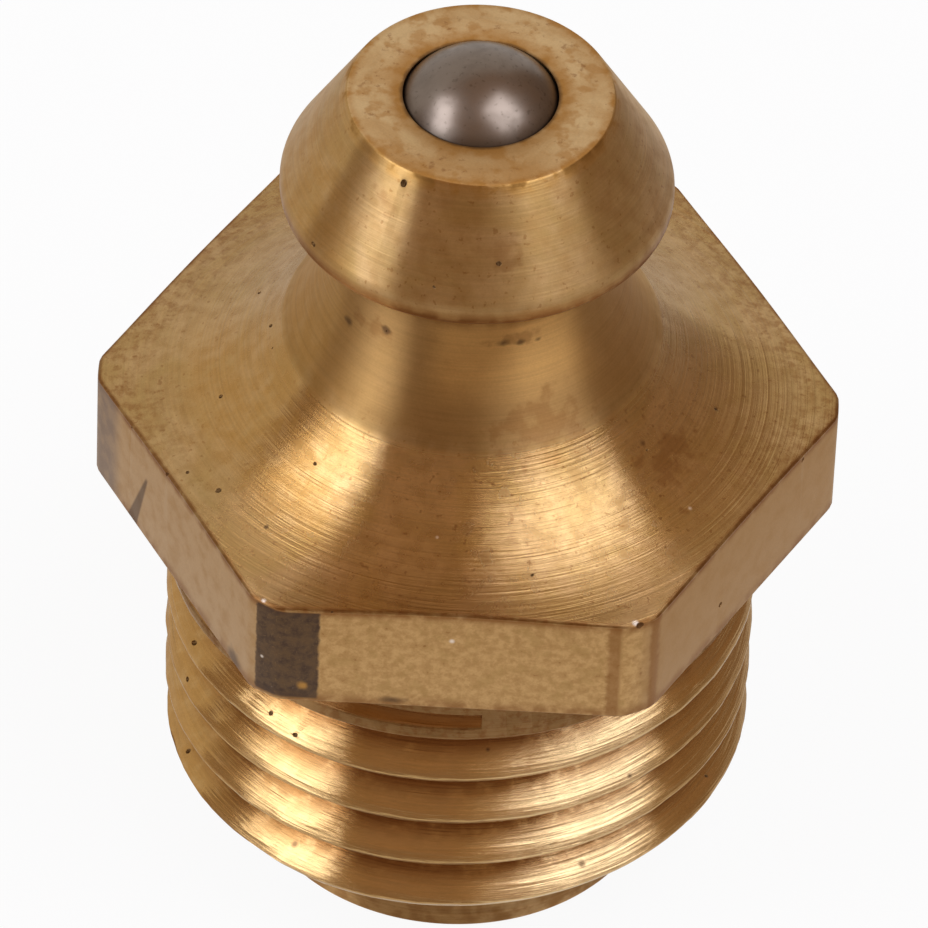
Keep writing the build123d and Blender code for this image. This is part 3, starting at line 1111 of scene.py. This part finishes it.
# %% Spots, smudges and dust
PALE_DUST = (0.90, 0.78, 0.66)
SPOTS = (
    (-61.0, 4.77, -4.90, 0.08, 1.0, 0.2), (-52.0, 4.93, -3.00, 0.055, 1.0, 0.2),
    (-82.0, 4.61, -1.86, 0.05, 1.0, 0.2), (-123.0, 4.69, -5.02, 0.07, 1.6, 0.2),
    (-127.0, 5.88, 0.12, 0.30, 0.8, 0.4), (-100.0, 5.58, 0.14, 0.24, 0.4, 0.5),
    (-76.5, 2.42, 5.36, 0.13, 0.7), (-69.4, 2.40, 5.33, 0.09, 0.8),
    (-62.0, 2.44, 5.30, 0.07, 0.6), (-124.3, 2.42, 5.21, 0.10),
    (-143.0, 2.48, 4.90, 0.13, 0.7), (-119.9, 2.32, 8.52, 0.09),
    (-36.0, 3.6, 3.05, 0.08), (-10.9, 4.22, 2.65, 0.07), (-130.0, 4.95, 2.30, 0.05),
)
SMUDGES = (
    (-80.5, 2.72, 7.74, 0.30, 1.3, 1.0), (-72.0, 2.42, 5.42, 0.42, 0.45, 1.2),
    (-101.0, 3.10, 6.60, 0.35, 0.3, 1.0), (-130.0, 2.45, 5.10, 0.45, 0.4, 1.2),
    (-66.0, 3.00, 3.85, 0.80, 0.7, 1.0), (-32.0, 4.00, 2.85, 0.60, 0.6, 1.5),
    (-124.0, 2.60, 8.20, 0.25, 0.8, 1.2),
)
OCHRE_FLECK = (-113.9, 6.02, 0.36, 0.10)
DUST = (
    (-90.2, 5.50, 1.58, 0.055, 1.0, 0.1), (-120.4, 6.19, 0.85, 0.04, 1.0, 0.1),
    (-94.8, 4.20, 2.66, 0.035, 1.0, 0.1), (-37.5, 4.77, 2.38, 0.04, 2.0, 0.1),
    (-120.6, 6.16, 2.10, 0.05, 0.7, 0.3), (-61.0, 6.14, 2.10, 0.07, 0.7, 0.3),
    (-115.5, 6.06, 0.30, 0.03, 1.0, 0.1), (-118.5, 6.18, 0.25, 0.02, 1.0, 0.1),
)


def spot(angle, distance, height, reach, stretch=1.0, ragged=0.5):
    """A round mark, or a tall one, about a place given by its angle round the axis."""
    turn = math.radians(angle)
    centre = (distance * math.cos(turn), distance * math.sin(turn), height)
    away = add_node(tree, "VectorMath", {0: place, 1: centre}, operation="SUBTRACT")
    away = add_node(tree, "VectorMath", {0: away, 1: (1, 1, 1 / stretch)}, operation="MULTIPLY")
    squared = tree.nodes.new("ShaderNodeVectorMath")
    squared.operation = "DOT_PRODUCT"
    tree.links.new(away, squared.inputs[0])
    tree.links.new(away, squared.inputs[1])
    apart = calculate(tree, "SQRT", squared.outputs["Value"])
    apart = calculate(tree, "MULTIPLY_ADD", calculate(tree, "SUBTRACT", mottle, 0.5),
                      4 * ragged * reach, apart)
    return rise(tree, apart, 1.2 * reach, 0.2 * reach)


smudges = both(any_of([spot(*row) for row in SMUDGES]), 0.45)
color = paint(tree, smudges, color, RUST_AND_SHADE_BROWN)
stains = both(any_of([streak, *(spot(*row) for row in SPOTS)]), 0.75)
color = paint(tree, stains, color, DIRT_BROWN)
color = paint(tree, spot(*OCHRE_FLECK), color, OCHRE)
dust = both(any_of([spot(*row) for row in DUST]), 0.8)
color = paint(tree, dust, color, PALE_DUST)
dirt_note = tree.nodes.new("ShaderNodeAttribute")
dirt_note.attribute_name = "dirt"
in_dent = rise(tree, dirt_note.outputs["Fac"], 0.1, 0.6)
color = paint(tree, both(in_dent, 0.65), color, DIRT_BROWN)
print("brass nodes with the spots:", len(tree.nodes))

# %% [markdown]
# The tool of the lathe leaves lines round the piece: fine ones everywhere, the coarser ones of its
# feed, and a few deep scores. They are noise that is stretched until it runs round the axis. The
# lines are so shallow that only a bump in the shading can carry them, and they are deepest on the
# lower part of the cove.

# %% Lines of the lathe
LINES_PER_MM = 19.0
LINE_WANDER = 0.5
FEED_SHARE = 0.5
SCORE_SHARE = 0.37
DEEPER_BELOW = (3.75, 3.35)
LINE_DEPTH = 4.0e-6


def sum_of(*values):
    """The sum of these."""
    result = values[0]
    for value in values[1:]:
        result = calculate(tree, "ADD", result, value)
    return result


lathe_place = vector_of(
    tree, calculate(tree, "MULTIPLY", radius, LINES_PER_MM),
    calculate(tree, "MULTIPLY", z, LINES_PER_MM), calculate(tree, "MULTIPLY", x, LINE_WANDER))
lathe_lines = noise(tree, lathe_place, 1.0, 3.0, 0.65)
feeds = noise(tree, scaled(tree, lathe_place, FEED_SHARE), 1.0, 3.0, 0.6)
scores = noise(tree, scaled(tree, lathe_place, SCORE_SHARE), 1.0, 2.0, 0.6)
scores = rise(tree, scores, 0.54, 0.66)
line_shade = calculate(tree, "SUBTRACT", rise(tree, lathe_lines, 0.28, 0.72, 0.93, 1.05), 1.0)
line_shade = calculate(tree, "ADD", 1.0, both(line_shade, turned))
grain_shade = rise(tree, grains, 0.3, 0.7, 0.97, 1.03)
tree.links.new(scaled(tree, color, both(line_shade, grain_shade)), shader.inputs["Base Color"])
marks = sum_of(both(lathe_lines, 2.0), both(feeds, 1.5), both(scores, 0.7))
depth = both(turned, rise(tree, z, *DEEPER_BELOW, 0.35, 1.0))
height = calculate(tree, "ADD", both(marks, depth), both(grains, 0.05))
bump = add_node(tree, "Bump", {"Strength": 1.0, "Distance": LINE_DEPTH, "Height": height})
tree.links.new(bump, shader.inputs["Normal"])
print("brass nodes with the lines:", len(tree.nodes))

# %% [markdown]
# How dull the metal is changes from face to face. A smoother cut was taken on the lower cove and
# the thread, so they shine, and above a ragged line on the cove the highlights turn soft. The cone
# of the head lies between the two. The skin of the bar, the faced ring and the dirt are duller
# still. One roughness would let the bright streaks run over the whole piece as if it were plated.

# %% Roughness
FINISH_CHANGE_Z = (3.54, 3.66)
SMOOTH_CUT = 0.26
DULL_CUT = 0.45
THREAD_SHINE = 0.04
HEAD_SHINE = 0.12
DULL_PLACES = (
    (on_side, 0.55), (on_top, 0.66), (patch, 0.5), (on_nose, 0.5), (on_rim, 0.45),
    (rim_ring, 0.7), (head_underside_shade, 0.65), (in_dent, 0.7),
)

ragged_z = calculate(tree, "MULTIPLY_ADD", calculate(tree, "SUBTRACT", lathe_lines, 0.5), 0.15, z)
cut = rise(tree, ragged_z, *FINISH_CHANGE_Z, SMOOTH_CUT, DULL_CUT)
cut = any_of([cut, both(land, DULL_CUT)])
cut = calculate(tree, "SUBTRACT", cut, both(on_shank, all_but(land), THREAD_SHINE))
roughness = any_of([cut, *(both(share, dullness) for share, dullness in DULL_PLACES)])
on_head = rise(tree, z, LAND_LOW_Z - 0.1, LAND_LOW_Z)
roughness = calculate(tree, "SUBTRACT", roughness, both(on_head, all_but(on_top), HEAD_SHINE))
roughness = calculate(tree, "ADD", roughness, rise(tree, mottle, 0.30, 0.80, -0.02, 0.03))
tree.links.new(roughness, shader.inputs["Roughness"])
tree.links.new(turned, shader.inputs["Anisotropic"])
body.data.materials.append(brass)
print("brass nodes in all:", len(tree.nodes))

# %% [markdown]
# ## The steel
#
# The ball is hardened steel, ground and polished, but it has sat under old grease for years: a dark
# film lies over it in clouds and thickens to a ring where it meets the orifice. Clean mirror steel
# would be easier and would show the two soft boxes as hard white squares.

# %% Steel of the ball
BALL_STEEL = (0.22, 0.168, 0.13)
BALL_GRIME = (0.10, 0.075, 0.055)
RING_HEIGHT = 0.22

ball_steel, tree, shader, place = start_finish("ball_steel", Metallic=1.0)
_, _, z = axes_of(tree, place)
clouds = noise(tree, place, 2.5, 4.0, 0.6, 0.4)
flecks = noise(tree, place, 12.0, 2.0, 0.5)
color = paint(tree, rise(tree, clouds, 0.35, 0.75, 0.0, 0.35), BALL_STEEL, BALL_GRIME)
color = paint(tree, rise(tree, flecks, 0.60, 0.72, 0.0, 0.5), color, BALL_GRIME)
grime_ring = rise(tree, z, ORIFICE_LOW_Z + RING_HEIGHT, ORIFICE_LOW_Z, 0.0, 0.7)
color = paint(tree, grime_ring, color, BALL_GRIME)
tree.links.new(color, shader.inputs["Base Color"])
tree.links.new(rise(tree, clouds, 0.3, 0.7, 0.28, 0.38), shader.inputs["Roughness"])
ball.data.materials.append(ball_steel)
print("ball nodes:", len(tree.nodes))

# %% [markdown]
# The spring is bright drawn wire. Its colour is even, because hardly any light gets at it, and only
# its shine changes a little along the wire.

# %% Wire of the spring
WIRE_STEEL = (0.42, 0.40, 0.38)

spring_wire, tree, shader, place = start_finish(
    "spring_wire", Metallic=1.0, Base_Color=(*WIRE_STEEL, 1.0))
shine = rise(tree, noise(tree, place, 6.0, 3.0, 0.6), 0.3, 0.7, 0.28, 0.42)
tree.links.new(shine, shader.inputs["Roughness"])
spring.data.materials.append(spring_wire)
print("spring nodes:", len(tree.nodes))
